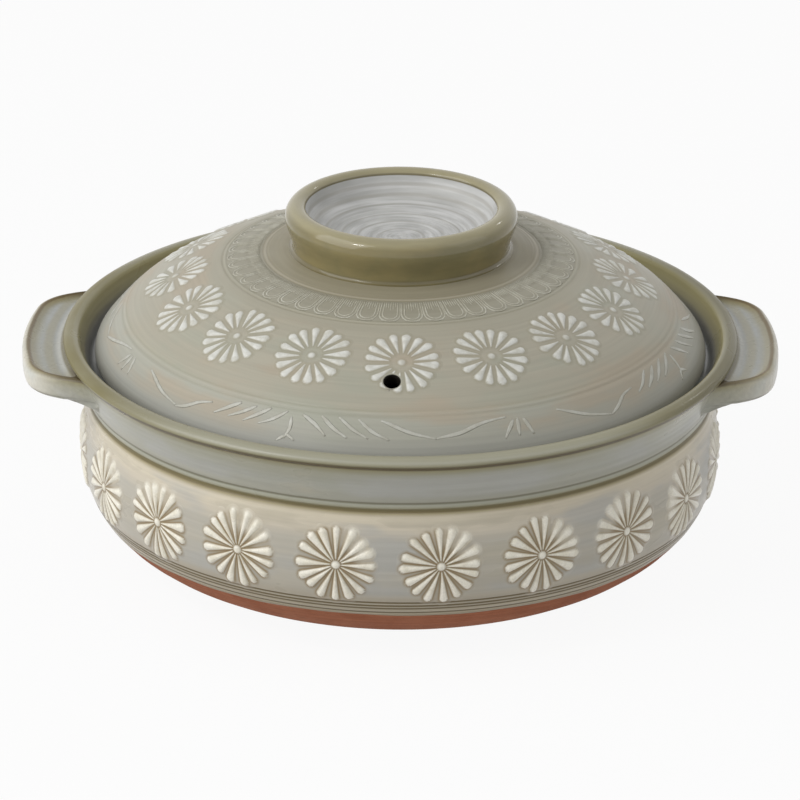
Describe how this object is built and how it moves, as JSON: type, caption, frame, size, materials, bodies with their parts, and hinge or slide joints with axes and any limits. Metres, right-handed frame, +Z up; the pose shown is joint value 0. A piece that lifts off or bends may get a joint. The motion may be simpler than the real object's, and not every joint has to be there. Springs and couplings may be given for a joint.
{
  "type": "lidded clay pot",
  "caption": "Round earthenware hot pot with a ledged rim, two lug handles and a domed lift-off lid with a ring knob and a steam hole.",
  "frame": {"origin": "middle of the foot, on the surface that the pot stands on", "axes": "+X through the right lug handle, -Y to the front with the steam hole, +Z up through the knob"},
  "size_m": [0.3196, 0.2852, 0.1542],
  "materials": {
    "pot_glaze": "semi-gloss grey-green glaze over red clay, bare and matt under the belly",
    "handle_glaze": "semi-gloss grey glaze, thin and ochre along the edges",
    "lid_glaze": "semi-gloss greige glaze with fine wheel lines",
    "knob_glaze": "glossy ochre-olive glaze, white brushed slip in the dish",
    "cream_slip": "cream-white slip under clear glaze"
  },
  "bodies": {
    "pot": {"pot_body": "pot_glaze", "left_handle": "handle_glaze", "right_handle": "handle_glaze", "pot_rosettes": "cream_slip"},
    "lid": {"lid_dome": "lid_glaze", "lid_knob": "knob_glaze", "lid_rosettes": "cream_slip"}
  },
  "joints": [
    {"name": "lid_lift", "type": "slide", "parent": "pot", "child": "lid", "axis": [0, 0, 1], "range_m": [0, 0.2]}
  ]
}
